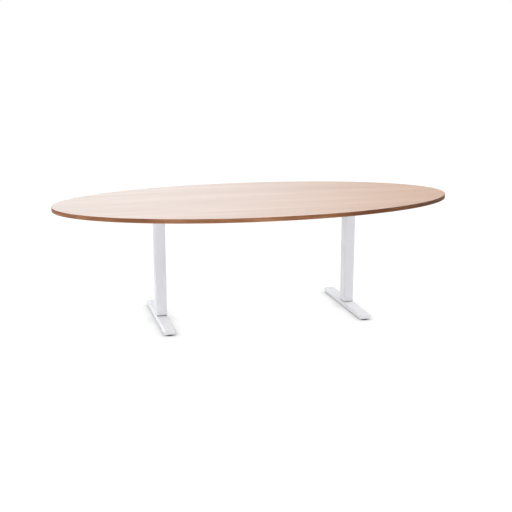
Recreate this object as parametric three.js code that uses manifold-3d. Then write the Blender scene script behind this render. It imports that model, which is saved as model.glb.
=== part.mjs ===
// Conference table: an elliptical veneered top carried on two electric lifting columns with T feet.
// Millimetres, +Z up. The origin is on the floor under the middle of the top, +X runs along the top and
// +Y points to its far long side. Both columns stand fully lowered.
import * as THREE from "three";
import { mergeVertices } from "three/addons/utils/BufferGeometryUtils.js";
import Module from "manifold-3d";

const wasm = await Module();
wasm.setup();

// Clearances
const SEAT = 0.3; // left between two faces that touch on the real table
const GLUE_LINE = 0.1; // between the layers of the top
const RUNNING_FIT = 0.3; // between a piece that slides or turns and its guide, per side

// Table top
const TABLE_HEIGHT = 710;
const TOP_LENGTH = 2400;
const TOP_WIDTH = 1200;
const TOP_THICKNESS = 24;
const VENEER = 0.9;
const EDGE_BAND = 2;
const TOP_FACETS = 120;

// Lifting columns
const LEG_SPACING = 1180;
const COLUMN_WIDTH = 62;
const COLUMN_DEPTH = 80;
const COLUMN_CORNER = 8;
const COLUMN_WALL = 2;
const COLUMN_GAP = 4; // from the foot to the mouth of the lowered outer tube
const INNER_CORNER = 6;
const INNER_WALL = 2;
const INNER_HEADROOM = 12;
const BUSH_LENGTH = 50;
const BUSH_SIDE_WALL = 4.4;
const BUSH_FRONT_WALL = 6.4;
const BUSH_SPACING = 28; // between the two bushes of a column at full height
const BUSH_LIP = 2; // height of the lower bush's rim under the mouth of the outer tube
const BUSH_LIP_INSET = 1.5; // of that rim from the face of the outer tube

// Drive
const SPINDLE_DIAMETER = 14;
const SPINDLE_RUN_OUT = 24; // left below the nut at full height
const NUT_LENGTH = 36;
const GEARBOX_WIDTH = 68;
const GEARBOX_HEIGHT = 37;
const GEARBOX_CORNER = 5;
const SPINDLE_SOCKET_DEPTH = 26;
const MOTOR_DIAMETER = 36;
const MOTOR_LENGTH = 100;
const MOTOR_CHAMFER = 2;
const MOTOR_BOSS_DIAMETER = 16;
const MOTOR_BOSS_LENGTH = 4;

// Underframe
const ARM_LENGTH = 700;
const ARM_WIDTH = 80;
const ARM_THICKNESS = 6;
const ARM_END_RADIUS = 20;
const ARM_HOLE_DIAMETER = 6;
const ARM_HOLE_INSET = 30;
const ARM_HOLE_PITCH = 170;
const RAIL_WIDTH = 25;
const RAIL_HEIGHT = 35;
const RAIL_WALL = 2;
const RAIL_OVERRUN = 60; // of each rail past the column axis

// Feet
const FOOT_LENGTH = 670;
const FOOT_WIDTH = 72;
const FOOT_HEIGHT = 23;
const FOOT_CORNER = 16;
const FOOT_EDGE = 10;
const FOOT_WALL = 3;
const END_PLATE_THICKNESS = 12;
const BOLT_DIAMETER = 8;
const BOLT_HEAD_DIAMETER = 13;
const BOLT_HEAD_HEIGHT = 8;
const BOLT_PITCH_X = 20;
const BOLT_PITCH_Y = 26;
const BOLT_REACH = 10; // of each foot bolt into the end plate

// Levelling glides
const GLIDE_INSET = 28; // from the end of the foot to the glide's axis
const PAD_DIAMETER = 40;
const PAD_HEIGHT = 6;
const PAD_RIM = 3;
const PAD_CHAMFER = 1;
const PAD_NECK_DIAMETER = 22;
const PAD_FLOOR = 2.5; // under the stud's socket
const STUD_DIAMETER = 8;
const STUD_HEX = 13;
const STUD_COLLAR = 2.4;
const STUD_HEADROOM = 4; // between the stud and the inside of the foot
const GLIDE_NUT_LENGTH = 30;
const GLIDE_NUT_HEIGHT = 8;

// Control box, handset and leads
const BOX_LENGTH = 220;
const BOX_WIDTH = 100;
const BOX_HEIGHT = 40;
const BOX_CORNER = 6;
const BOX_FROM_LEG = 340; // from the left column axis to the middle of the box
const BOX_Y = 160;
const INLET_WIDTH = 30;
const INLET_HEIGHT = 22;
const INLET_DEPTH = 18;
const INLET_WALL = 3;
const HANDSET_LENGTH = 96;
const HANDSET_DEPTH = 34;
const HANDSET_HEIGHT = 18;
const HANDSET_CORNER = 4;
const HANDSET_SETBACK = 20; // behind the edge of the top
const BUTTON_LENGTH = 22;
const BUTTON_HEIGHT = 10;
const BUTTON_DEPTH = 5.5;
const BUTTON_PROUD = 1.2;
const BUTTON_PITCH = 34;
const BUTTON_TRAVEL = 1;
const BUTTON_CORNER = 3;
const LEAD_DIAMETER = 5;
const LEAD_PORT_PITCH = 120;
const LEAD_BEND = 15;
const LEAD_TAIL = 25; // straight out of the motor
const LEAD_RISE = 50; // run over which a lead climbs to the board

// Levels and places worked out from the sizes above
const bushRoom = 2 * (COLUMN_WALL + SEAT + RUNNING_FIT);
const innerWidth = COLUMN_WIDTH - bushRoom - 2 * BUSH_SIDE_WALL;
const innerDepth = COLUMN_DEPTH - bushRoom - 2 * BUSH_FRONT_WALL;
const underside = TABLE_HEIGHT - TOP_THICKNESS;
const armTop = underside - SEAT;
const armBottom = armTop - ARM_THICKNESS;
const gearboxTop = armBottom - SEAT;
const gearboxBottom = gearboxTop - GEARBOX_HEIGHT;
const collarBottom = PAD_HEIGHT + SEAT;
const collarTop = collarBottom + STUD_COLLAR;
const footBottom = collarTop + SEAT;
const footTop = footBottom + FOOT_HEIGHT;
const footCeiling = footTop - FOOT_WALL;
const columnBottom = footTop + COLUMN_GAP;
const columnTop = gearboxBottom - SEAT;
const innerBottom = footTop + SEAT;
const innerTop = columnTop - INNER_HEADROOM;
const lowerBushTop = columnBottom + BUSH_LENGTH;
const upperBushBottom = innerTop - BUSH_LENGTH;
const liftStroke = upperBushBottom - BUSH_SPACING - lowerBushTop;
const nutBottom = innerTop - NUT_LENGTH;
const spindleTop = gearboxBottom + SPINDLE_SOCKET_DEPTH - SEAT;
const spindleBottom = nutBottom - liftStroke - SPINDLE_RUN_OUT;
const motorLevel = gearboxTop - SEAT - MOTOR_DIAMETER / 2;
const motorStart = GEARBOX_WIDTH / 2 + SEAT; // inwards from the column axis
const motorTail = motorStart + MOTOR_LENGTH + MOTOR_BOSS_LENGTH;
const railTop = armBottom - SEAT;
const railLine = COLUMN_DEPTH / 2 + SEAT + RAIL_WIDTH / 2;
const leadLevel = underside - SEAT - LEAD_DIAMETER / 2;
const boxTop = underside - SEAT;
const boxMiddle = BOX_FROM_LEG - LEG_SPACING / 2;
const handsetBack = TOP_WIDTH / 2 - HANDSET_SETBACK - HANDSET_DEPTH;
const buttonPocket = BUTTON_DEPTH - BUTTON_PROUD + BUTTON_TRAVEL + RUNNING_FIT;

const ROUND = 24; // sides of a round piece
const SMALL_ROUND = 16; // sides of a bolt, a stud or a screw hole
const CORNER_STEPS = 3;

// Finishes
function finish(color, roughness, metalness) {
  return new THREE.MeshStandardMaterial({ color, roughness, metalness });
}
const veneer = finish(0xdcbb9f, 0.45, 0);
const edgeWood = finish(0x9a6a48, 0.55, 0);
const chipboard = finish(0xb79b74, 0.9, 0);
const whitePowderCoat = finish(0xe6e6e8, 0.45, 0);
const blackPlastic = finish(0x1b1b1d, 0.55, 0);
const greyPlastic = finish(0x3a3b3e, 0.5, 0);
const zincSteel = finish(0xa9abad, 0.35, 1);
const castZinc = finish(0x8d9093, 0.5, 0.8);
const nutBronze = finish(0xa8824a, 0.4, 1);
const leadJacket = finish(0x202022, 0.6, 0);

// Outlines and plain solids
function roundedRect(width, depth, radius) {
  const x = width / 2 - radius;
  const y = depth / 2 - radius;
  return new THREE.Shape()
    .absarc(x, y, radius, 0, Math.PI / 2)
    .absarc(-x, y, radius, Math.PI / 2, Math.PI)
    .absarc(-x, -y, radius, Math.PI, 1.5 * Math.PI)
    .absarc(x, -y, radius, 1.5 * Math.PI, 2 * Math.PI);
}

function circle(radius) {
  return new THREE.Shape().absarc(0, 0, radius, 0, 2 * Math.PI);
}

function ellipse(length, width) {
  return new THREE.Shape().absellipse(0, 0, length / 2, width / 2, 0, 2 * Math.PI);
}

function withHole(outline, hole) {
  outline.holes.push(hole);
  return outline;
}

function prism(outline, bottom, top, steps = CORNER_STEPS) {
  const settings = { depth: top - bottom, bevelEnabled: false, curveSegments: steps };
  return new THREE.ExtrudeGeometry(outline, settings).translate(0, 0, bottom);
}

function rod(diameter, bottom, top, sides = ROUND) {
  return new THREE.CylinderGeometry(diameter / 2, diameter / 2, top - bottom, sides)
    .rotateX(Math.PI / 2)
    .translate(0, 0, (bottom + top) / 2);
}

function box(width, depth, height, x, y, z) {
  return new THREE.BoxGeometry(width, depth, height).translate(x, y, z);
}

// Boolean joins and cuts
function solidOf(geometry) {
  const bare = geometry.clone();
  bare.deleteAttribute("normal");
  bare.deleteAttribute("uv");
  const merged = mergeVertices(bare, 1e-4);
  const vertProperties = new Float32Array(merged.attributes.position.array);
  const triVerts = new Uint32Array(merged.index.array);
  return new wasm.Manifold(new wasm.Mesh({ numProp: 3, vertProperties, triVerts }));
}

function geometryOf(solid) {
  const mesh = solid.getMesh();
  const geometry = new THREE.BufferGeometry();
  geometry.setAttribute("position", new THREE.BufferAttribute(mesh.vertProperties, 3));
  geometry.setIndex(new THREE.BufferAttribute(mesh.triVerts, 1));
  geometry.computeVertexNormals();
  return geometry;
}

function cut(geometry, cutters) {
  return geometryOf(cutters.reduce((solid, cutter) => solid.subtract(solidOf(cutter)), solidOf(geometry)));
}

function common(geometry, other) {
  return geometryOf(solidOf(geometry).intersect(solidOf(other)));
}

function join(...geometries) {
  return geometryOf(geometries.map(solidOf).reduce((solid, other) => solid.add(other)));
}

// A flat slab with rounded upper edges and a square-cut underside.
function roundedSlab(width, length, corner, edge, bottom, top) {
  const settings = {
    depth: top - bottom,
    bevelThickness: edge,
    bevelSize: edge,
    bevelOffset: -edge,
    bevelSegments: CORNER_STEPS,
    curveSegments: CORNER_STEPS,
  };
  const pillow = new THREE.ExtrudeGeometry(roundedRect(width, length, corner), settings);
  pillow.translate(0, 0, bottom - edge);
  return cut(pillow, [box(2 * width, 2 * length, 4 * edge, 0, 0, bottom - 2 * edge)]);
}

function place(parent, name, geometry, material) {
  const mesh = new THREE.Mesh(geometry, material);
  mesh.name = name;
  parent.add(mesh);
  return mesh;
}

// Veneered board with a wooden edge band round it
function buildTop(parent) {
  const band = 2 * EDGE_BAND;
  const boardLength = TOP_LENGTH - band - 2 * GLUE_LINE;
  const boardWidth = TOP_WIDTH - band - 2 * GLUE_LINE;
  const steps = TOP_FACETS / 2;
  const coreBottom = underside + VENEER + GLUE_LINE;
  const coreTop = TABLE_HEIGHT - VENEER - GLUE_LINE;
  const board = () => ellipse(boardLength, boardWidth);
  const ring = withHole(ellipse(TOP_LENGTH, TOP_WIDTH), ellipse(TOP_LENGTH - band, TOP_WIDTH - band));
  place(parent, "top_core", prism(board(), coreBottom, coreTop, steps), chipboard);
  place(parent, "top_veneer", prism(board(), TABLE_HEIGHT - VENEER, TABLE_HEIGHT, steps), veneer);
  place(parent, "underside_veneer", prism(board(), underside, underside + VENEER, steps), veneer);
  place(parent, "edge_band", prism(ring, underside, TABLE_HEIGHT, steps), edgeWood);
}

// Flat bar across the top of a column, screwed up into the board
function supportArm() {
  const bar = prism(roundedRect(ARM_WIDTH, ARM_LENGTH, ARM_END_RADIUS), armBottom, armTop);
  const outer = ARM_LENGTH / 2 - ARM_HOLE_INSET;
  const holes = [outer, outer - ARM_HOLE_PITCH, ARM_HOLE_PITCH - outer, -outer].map((y) =>
    rod(ARM_HOLE_DIAMETER, armBottom - 1, armTop + 1, SMALL_ROUND).translate(0, y, 0),
  );
  return cut(bar, holes);
}

// Box-section rail that ties the two column heads together
function rail() {
  const length = LEG_SPACING + 2 * RAIL_OVERRUN;
  const hollow = box(length + 2, RAIL_WIDTH - 2 * RAIL_WALL, RAIL_HEIGHT - 2 * RAIL_WALL, 0, 0, 0);
  return cut(box(length, RAIL_WIDTH, RAIL_HEIGHT, 0, 0, 0), [hollow]);
}

function gearbox() {
  const casing = prism(roundedRect(GEARBOX_WIDTH, COLUMN_DEPTH, GEARBOX_CORNER), gearboxBottom, gearboxTop);
  const socket = rod(
    SPINDLE_DIAMETER + 2 * RUNNING_FIT,
    gearboxBottom - 1,
    gearboxBottom + SPINDLE_SOCKET_DEPTH,
  );
  return cut(casing, [socket]);
}

// Motor lying along X with its lead boss at the tail, from 0 inwards along +X
function motor() {
  const radius = MOTOR_DIAMETER / 2;
  const boss = MOTOR_BOSS_DIAMETER / 2;
  const end = MOTOR_LENGTH + MOTOR_BOSS_LENGTH;
  const profile = [
    [0, 0],
    [radius, 0],
    [radius, MOTOR_LENGTH - MOTOR_CHAMFER],
    [radius - MOTOR_CHAMFER, MOTOR_LENGTH],
    [boss, MOTOR_LENGTH],
    [boss, end],
    [0, end],
  ].map(([x, y]) => new THREE.Vector2(x, y));
  return new THREE.LatheGeometry(profile, ROUND).rotateZ(-Math.PI / 2);
}

function columnTube(width, depth, corner, wall, bottom, top) {
  const bore = roundedRect(width - 2 * wall, depth - 2 * wall, corner - wall);
  return prism(withHole(roundedRect(width, depth, corner), bore), bottom, top);
}

// Plastic collar that fills the space between the two tubes, free of both by the given clearances
function bush(bottom, top, outerGap, innerGap) {
  const room = COLUMN_WALL + outerGap;
  const outline = roundedRect(COLUMN_WIDTH - 2 * room, COLUMN_DEPTH - 2 * room, COLUMN_CORNER - room);
  return prism(withHole(outline, innerOpening(innerGap)), bottom, top);
}

function innerOpening(gap) {
  return roundedRect(innerWidth + 2 * gap, innerDepth + 2 * gap, INNER_CORNER + gap);
}

// Bush in the mouth of the outer tube, with a rim under the tube's end
function lowerBush() {
  const lipTop = columnBottom - SEAT;
  const lipBottom = lipTop - BUSH_LIP;
  const width = COLUMN_WIDTH - 2 * BUSH_LIP_INSET;
  const depth = COLUMN_DEPTH - 2 * BUSH_LIP_INSET;
  const rim = roundedRect(width, depth, COLUMN_CORNER - BUSH_LIP_INSET);
  const lip = prism(withHole(rim, innerOpening(RUNNING_FIT)), lipBottom, lipTop);
  return join(lip, bush(lipBottom, lowerBushTop, SEAT, RUNNING_FIT));
}

function plugOutline() {
  const room = INNER_WALL + SEAT;
  return roundedRect(innerWidth - 2 * room, innerDepth - 2 * room, INNER_CORNER - room);
}

function boltPlaces() {
  const signs = [-1, 1];
  return signs.flatMap((sx) => signs.map((sy) => [(sx * BOLT_PITCH_X) / 2, (sy * BOLT_PITCH_Y) / 2]));
}

function boltHoles(bottom, top) {
  const hole = BOLT_DIAMETER + 2 * RUNNING_FIT;
  return boltPlaces().map(([x, y]) => rod(hole, bottom, top, SMALL_ROUND).translate(x, y, 0));
}

// The space inside the foot, drawn in by a clearance
function footPocket(clearance) {
  const room = FOOT_WALL + clearance;
  const width = FOOT_WIDTH - 2 * room;
  const length = FOOT_LENGTH - 2 * room;
  return roundedSlab(width, length, FOOT_CORNER - room, FOOT_EDGE - room, footBottom - 1, footTop - room);
}

// Pressed steel foot: a slab open underneath, drilled for the column bolts
function foot() {
  const shell = roundedSlab(FOOT_WIDTH, FOOT_LENGTH, FOOT_CORNER, FOOT_EDGE, footBottom, footTop);
  return cut(shell, [footPocket(0), ...boltHoles(footBottom, footTop + 1)]);
}

function endPlate() {
  const top = innerBottom + END_PLATE_THICKNESS;
  return cut(prism(plugOutline(), innerBottom, top), boltHoles(innerBottom - 1, top + 1));
}

function footBolt() {
  const seat = footCeiling - SEAT;
  const head = rod(BOLT_HEAD_DIAMETER, seat - BOLT_HEAD_HEIGHT, seat, SMALL_ROUND);
  const shank = rod(BOLT_DIAMETER, seat - BOLT_HEAD_HEIGHT / 2, innerBottom + BOLT_REACH, SMALL_ROUND);
  return join(head, shank);
}

// Round floor pad with a socket for the stud
function glidePad() {
  const rim = PAD_DIAMETER / 2;
  const neck = PAD_NECK_DIAMETER / 2;
  const profile = [
    [0, 0],
    [rim - PAD_CHAMFER, 0],
    [rim, PAD_CHAMFER],
    [rim, PAD_RIM],
    [neck, PAD_HEIGHT],
    [0, PAD_HEIGHT],
  ].map(([x, y]) => new THREE.Vector2(x, y));
  const disc = new THREE.LatheGeometry(profile, ROUND).rotateX(Math.PI / 2);
  return cut(disc, [rod(STUD_DIAMETER + 2 * RUNNING_FIT, PAD_FLOOR, PAD_HEIGHT + 1, SMALL_ROUND)]);
}

// Threaded stud with the hexagon that a spanner turns it by
function glideStud() {
  const hexagon = rod(STUD_HEX / Math.cos(Math.PI / 6), collarBottom, collarTop, 6);
  const thread = rod(STUD_DIAMETER, PAD_FLOOR + SEAT, footCeiling - STUD_HEADROOM, SMALL_ROUND);
  return join(thread, hexagon);
}

// Block welded across the inside of the foot, in which the stud turns
function glideNut(y) {
  const top = footBottom + GLIDE_NUT_HEIGHT;
  const block = box(FOOT_WIDTH, GLIDE_NUT_LENGTH, GLIDE_NUT_HEIGHT, 0, y, (footBottom + top) / 2);
  const thread = rod(STUD_DIAMETER + 2 * RUNNING_FIT, footBottom - 1, top + 1, SMALL_ROUND);
  return cut(common(block, footPocket(SEAT)), [thread.translate(0, y, 0)]);
}

// One T leg with its drive. The motor points inwards, to the middle of the table.
function buildLeg(parent, side, sign) {
  const leg = new THREE.Group();
  leg.position.x = (sign * LEG_SPACING) / 2;
  parent.add(leg);
  const add = (name, geometry, material) => place(leg, `${side}_${name}`, geometry, material);

  add("support_arm", supportArm(), whitePowderCoat);
  add("gearbox", gearbox(), castZinc);
  const drive = add("motor", motor(), blackPlastic);
  drive.rotation.z = sign > 0 ? Math.PI : 0;
  drive.position.set(-sign * motorStart, 0, motorLevel);

  const outer = [COLUMN_WIDTH, COLUMN_DEPTH, COLUMN_CORNER, COLUMN_WALL];
  const inner = [innerWidth, innerDepth, INNER_CORNER, INNER_WALL];
  add("outer_column", columnTube(...outer, columnBottom, columnTop), whitePowderCoat);
  add("lower_bush", lowerBush(), blackPlastic);
  add("upper_bush", bush(upperBushBottom, innerTop, RUNNING_FIT, SEAT), blackPlastic);
  add("inner_column", columnTube(...inner, innerBottom, innerTop), whitePowderCoat);
  add("spindle", rod(SPINDLE_DIAMETER, spindleBottom, spindleTop), zincSteel);
  const nutBore = circle(SPINDLE_DIAMETER / 2 + RUNNING_FIT);
  add("spindle_nut", prism(withHole(plugOutline(), nutBore), nutBottom, innerTop, ROUND / 2), nutBronze);

  add("column_end_plate", endPlate(), zincSteel);
  add("foot", foot(), whitePowderCoat);
  boltPlaces().forEach(([x, y], index) => {
    add(`foot_bolt_${index + 1}`, footBolt(), zincSteel).position.set(x, y, 0);
  });
  for (const [end, towards] of [["front", -1], ["rear", 1]]) {
    const y = towards * (FOOT_LENGTH / 2 - GLIDE_INSET);
    add(`${end}_glide_pad`, glidePad(), blackPlastic).position.y = y;
    add(`${end}_glide_stud`, glideStud(), zincSteel).position.y = y;
    add(`${end}_glide_nut`, glideNut(y), zincSteel);
  }
}

function buildRails(parent) {
  const level = railTop - RAIL_HEIGHT / 2;
  for (const [name, towards] of [["front_rail", -1], ["rear_rail", 1]]) {
    place(parent, name, rail(), whitePowderCoat).position.set(0, towards * railLine, level);
  }
}

// Control box under the board with its mains inlet at one end
function buildControlBox(parent) {
  const outline = roundedRect(BOX_LENGTH, BOX_WIDTH, BOX_CORNER);
  const casing = place(parent, "control_box", prism(outline, boxTop - BOX_HEIGHT, boxTop), greyPlastic);
  casing.position.set(boxMiddle, BOX_Y, 0);
  const shroud = box(INLET_DEPTH, INLET_WIDTH, INLET_HEIGHT, 0, 0, 0);
  const recessWidth = INLET_WIDTH - 2 * INLET_WALL;
  const recessHeight = INLET_HEIGHT - 2 * INLET_WALL;
  const recess = box(INLET_DEPTH, recessWidth, recessHeight, -INLET_WALL, 0, 0);
  const inlet = place(parent, "mains_inlet", cut(shroud, [recess]), blackPlastic);
  inlet.position.set(boxMiddle - BOX_LENGTH / 2 - SEAT - INLET_DEPTH / 2, BOX_Y, boxTop - BOX_HEIGHT / 2);
}

// Two-button handset under the far edge. Its buttons face outwards and press inwards.
function buildHandset(parent) {
  const handset = new THREE.Group();
  const front = HANDSET_DEPTH;
  handset.position.set(0, handsetBack, underside - SEAT - HANDSET_HEIGHT / 2);
  parent.add(handset);

  const upright = (outline, back, face) => prism(outline, back, face).rotateX(-Math.PI / 2);
  const places = [-BUTTON_PITCH / 2, BUTTON_PITCH / 2];
  const room = 2 * RUNNING_FIT;
  const pocketOutline = () => roundedRect(BUTTON_LENGTH + room, BUTTON_HEIGHT + room, BUTTON_CORNER);
  const pockets = places.map((x) =>
    upright(pocketOutline(), front - buttonPocket, front + 1).translate(x, 0, 0),
  );
  const housing = upright(roundedRect(HANDSET_LENGTH, HANDSET_HEIGHT, HANDSET_CORNER), 0, front);
  place(handset, "handset", cut(housing, pockets), greyPlastic);
  const buttonOutline = roundedRect(BUTTON_LENGTH, BUTTON_HEIGHT, BUTTON_CORNER);
  const face = front + BUTTON_PROUD;
  ["down_button", "up_button"].forEach((name, index) => {
    const button = place(handset, name, upright(buttonOutline, face - BUTTON_DEPTH, face), blackPlastic);
    button.position.x = places[index];
  });
}

// Round lead along straight runs with bent corners
function lead(points) {
  const corners = points.map((point) => new THREE.Vector3(...point));
  const path = new THREE.CurvePath();
  let from = corners[0];
  for (let index = 1; index < corners.length - 1; index += 1) {
    const corner = corners[index];
    const bendTo = (next) => next.clone().sub(corner).setLength(LEAD_BEND).add(corner);
    const bendStart = bendTo(corners[index - 1]);
    const bendEnd = bendTo(corners[index + 1]);
    path.add(new THREE.LineCurve3(from, bendStart));
    path.add(new THREE.QuadraticBezierCurve3(bendStart, corner, bendEnd));
    from = bendEnd;
  }
  path.add(new THREE.LineCurve3(from, corners.at(-1)));
  const steps = Math.ceil(path.getLength() / (3 * LEAD_DIAMETER));
  const settings = { steps, extrudePath: path, curveSegments: CORNER_STEPS, bevelEnabled: false };
  return new THREE.ExtrudeGeometry(circle(LEAD_DIAMETER / 2), settings);
}

// Leads held against the board, from each motor and the handset to the control box
function buildLeads(parent) {
  const boxFront = BOX_Y - BOX_WIDTH / 2 - SEAT;
  const boxBack = BOX_Y + BOX_WIDTH / 2 + SEAT;
  for (const [side, sign] of [["left", -1], ["right", 1]]) {
    const tail = sign * (LEG_SPACING / 2 - motorTail - SEAT);
    const port = boxMiddle + (sign * LEAD_PORT_PITCH) / 2;
    const route = [
      [tail, 0, motorLevel],
      [tail - sign * LEAD_TAIL, 0, motorLevel],
      [tail - sign * (LEAD_TAIL + LEAD_RISE), 0, leadLevel],
      [port, 0, leadLevel],
      [port, boxFront, leadLevel],
    ];
    place(parent, `${side}_motor_lead`, lead(route), leadJacket);
  }
  const start = handsetBack - SEAT;
  const handsetRoute = [
    [0, start, leadLevel],
    [0, start - LEAD_RISE, leadLevel],
    [boxMiddle, boxBack + LEAD_RISE, leadLevel],
    [boxMiddle, boxBack, leadLevel],
  ];
  place(parent, "handset_lead", lead(handsetRoute), leadJacket);
}

const table = new THREE.Group();
table.name = "conference_table";
buildTop(table);
buildRails(table);
buildLeg(table, "left", -1);
buildLeg(table, "right", 1);
buildControlBox(table);
buildHandset(table);
buildLeads(table);

export default table;
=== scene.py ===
"""Conference table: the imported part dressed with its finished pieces, materials, light and camera.

Metres, +Z up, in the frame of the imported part. The table stands on z = 0, +X runs along the top,
and the camera looks towards +Y.
"""

import math

import bmesh
import bpy
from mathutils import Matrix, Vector


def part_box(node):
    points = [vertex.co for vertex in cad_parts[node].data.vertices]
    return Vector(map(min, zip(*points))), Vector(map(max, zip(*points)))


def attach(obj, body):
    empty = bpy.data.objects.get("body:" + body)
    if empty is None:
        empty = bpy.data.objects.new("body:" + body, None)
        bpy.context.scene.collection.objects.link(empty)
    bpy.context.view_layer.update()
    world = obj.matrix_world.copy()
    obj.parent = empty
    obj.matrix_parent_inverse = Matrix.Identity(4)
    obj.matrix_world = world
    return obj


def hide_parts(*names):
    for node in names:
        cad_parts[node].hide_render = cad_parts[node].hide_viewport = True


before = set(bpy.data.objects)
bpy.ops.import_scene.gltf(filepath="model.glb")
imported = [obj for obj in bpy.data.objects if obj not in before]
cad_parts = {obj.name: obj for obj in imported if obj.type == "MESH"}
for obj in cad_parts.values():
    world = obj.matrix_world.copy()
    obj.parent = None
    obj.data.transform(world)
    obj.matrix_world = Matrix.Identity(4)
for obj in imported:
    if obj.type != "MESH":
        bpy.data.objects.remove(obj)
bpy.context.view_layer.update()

MM = 0.001
X, Y, Z = range(3)
UP = (0, 0, 1)
DOWN = (0, 0, -1)
SIDES = ("left", "right")
ENDS = ("front", "rear")

# Bench limits
NEAR = 0.02 * MM
CUT_PAST = 1.0 * MM
STRAIGHT = 0.9
FACING = 0.95
SQUARE = 0.99
SHARP_ANGLE = math.radians(50)
SMOOTH_ANGLE = math.radians(42)

# Table top
OVAL_STEPS = 288
VENEER_EASE = 0.2 * MM
BAND_THICKNESS = 2.0 * MM
BAND_ARRIS = 1.5 * MM
BAND_OUTLINE = 0.9995

# Lifting columns
COLUMN_CORNER = 8.0 * MM
INNER_CORNER = 6.0 * MM
TUBE_WALL = 2.0 * MM
TUBE_MOUTH = 0.6 * MM

# Feet
FOOT_CORNER = 16.0 * MM
FOOT_EDGE = 10.0 * MM
FOOT_WALL = 3.0 * MM
FOOT_LIP = 0.6 * MM

# Floor pads and their studs
PAD_RADIUS = 20.0 * MM
PAD_RIM = 3.0 * MM
PAD_SHOULDER = 1.2 * MM
PAD_NECK = 11.0 * MM
PAD_FLOOR = 2.5 * MM
PAD_SOCKET_ROOM = 0.3 * MM
PAD_EASE = 0.3 * MM
TREAD_RINGS = 3
TREAD_WIDTH = 2.2 * MM
TREAD_DEPTH = 0.7 * MM
STUD_CREST = 4.0 * MM
STUD_ROOT = 3.4 * MM
STUD_PITCH = 1.25 * MM
STUD_HEX = 7.5 * MM
STUD_COLLAR = (6.3 * MM, 8.7 * MM)
STUD_COLLAR_EASE = 0.3 * MM

# Screws and bolts
SCREW_RADIUS = 5.0 * MM
SCREW_HEIGHT = 2.6 * MM
SCREW_DOME = 0.7 * SCREW_HEIGHT
SLOT_REACH = 0.62 * SCREW_RADIUS
SLOT_HALF = 0.55 * MM
SLOT_DEPTH = 1.3 * MM
BOLT_RADIUS = 5.5 * MM
BOLT_HEIGHT = 3.2 * MM
BOLT_DOME = 0.75 * BOLT_HEIGHT
BOLT_SOCKET = 0.5 * BOLT_RADIUS
BOLT_SOCKET_FLOOR = 0.35 * BOLT_HEIGHT

# Support arms and rails
ARM_END = 20.0 * MM
ARM_EASE = 0.8 * MM
ARM_SCREW_ROWS = (-320.0 * MM, -150.0 * MM, 150.0 * MM, 320.0 * MM)
RAIL_CORNER = 3.0 * MM
RAIL_EASE = 0.4 * MM
RAIL_BOLT_PITCH = 36.0 * MM
RAIL_PLUG_DEPTH = 12.0 * MM
RAIL_PLUG_ROOM = 0.15 * MM
RAIL_PLUG_CORNER = 1.2 * MM
RAIL_PLUG_RIM = 2.0 * MM
RAIL_PLUG_SLOPE = 0.6 * MM
RAIL_PLUG_DISH = 1.0 * MM
RAIL_PLUG_EASE = 0.3 * MM

# Gearboxes and motors
GEARBOX_CORNER = 5.0 * MM
GEARBOX_RIM = 4.0 * MM
GEARBOX_DISH = 1.0 * MM
GEARBOX_EASE = 0.7 * MM
MOTOR_BODY = 100.0 * MM
MOTOR_GROOVES = (12.0 * MM, 80.0 * MM)
MOTOR_GROOVE_WIDTH = 1.6 * MM
MOTOR_GROOVE_SHARE = 0.94
MOTOR_RIM = 2.5 * MM
MOTOR_CROWN = 0.8 * MM
MOTOR_BOSS = 8.0 * MM
MOTOR_BOSS_REACH = 3.2 * MM
MOTOR_EASE = 0.5 * MM

# Control box
BOX_CORNER = 6.0 * MM
BOX_EDGE = 2.5 * MM
BOX_EASE = 0.4 * MM
SEAM_LEVEL = 14.0 * MM
SEAM_WIDTH = 0.9 * MM
SEAM_SHARE = (0.992, 0.982)
VENT_ROWS = range(-4, 5)
VENT_PITCH = 11.0 * MM
VENT_REACH = 24.0 * MM
VENT_HALF = 1.6 * MM
VENT_DEPTH = 1.5 * MM
VENT_CORNER = 1.5 * MM
EAR_INSET = 30.0 * MM
EAR_REACH = 16.0 * MM
EAR_HALF = 8.0 * MM
EAR_THICKNESS = 4.0 * MM
EAR_CORNER = 6.0 * MM
EAR_SCREW = 9.0 * MM
EAR_EASE = 0.5 * MM

# Mains inlet
INLET_CORNER = 5.0 * MM
INLET_WALL = 3.0 * MM
INLET_DEPTH = 15.0 * MM
INLET_EASE = 0.5 * MM
PIN_PLACES = ((-7.0 * MM, -2.0 * MM), (0.0, 2.2 * MM), (7.0 * MM, -2.0 * MM))
PIN_SETBACK = 4.0 * MM
PIN_HALF_WIDTH = 1.0 * MM
PIN_HALF_HEIGHT = 2.0 * MM
PIN_POINT = 1.2 * MM
PIN_POINT_SHARE = (0.5, 0.6)
PIN_EASE = 0.2 * MM

# Handset
HANDSET_CORNER = 4.0 * MM
HANDSET_FACE_EDGE = 1.2 * MM
HANDSET_BACK_EDGE = 0.8 * MM
HANDSET_EASE = 0.25 * MM
BUTTON_CORNER = 3.0 * MM
BUTTON_ROOM = (0.3 * MM, 1.3 * MM, 0.3 * MM)
BUTTON_EDGE = 0.6 * MM
BUTTON_RIM = 1.0 * MM
BUTTON_DISH = 0.35 * MM
ARROW_SIZE = 2.6 * MM
ARROW_HEIGHT = 0.2 * MM
ARROW_TIP = 0.8
ARROW_BASE = 0.6
ARROW_CORNER = 0.4 * MM

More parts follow.
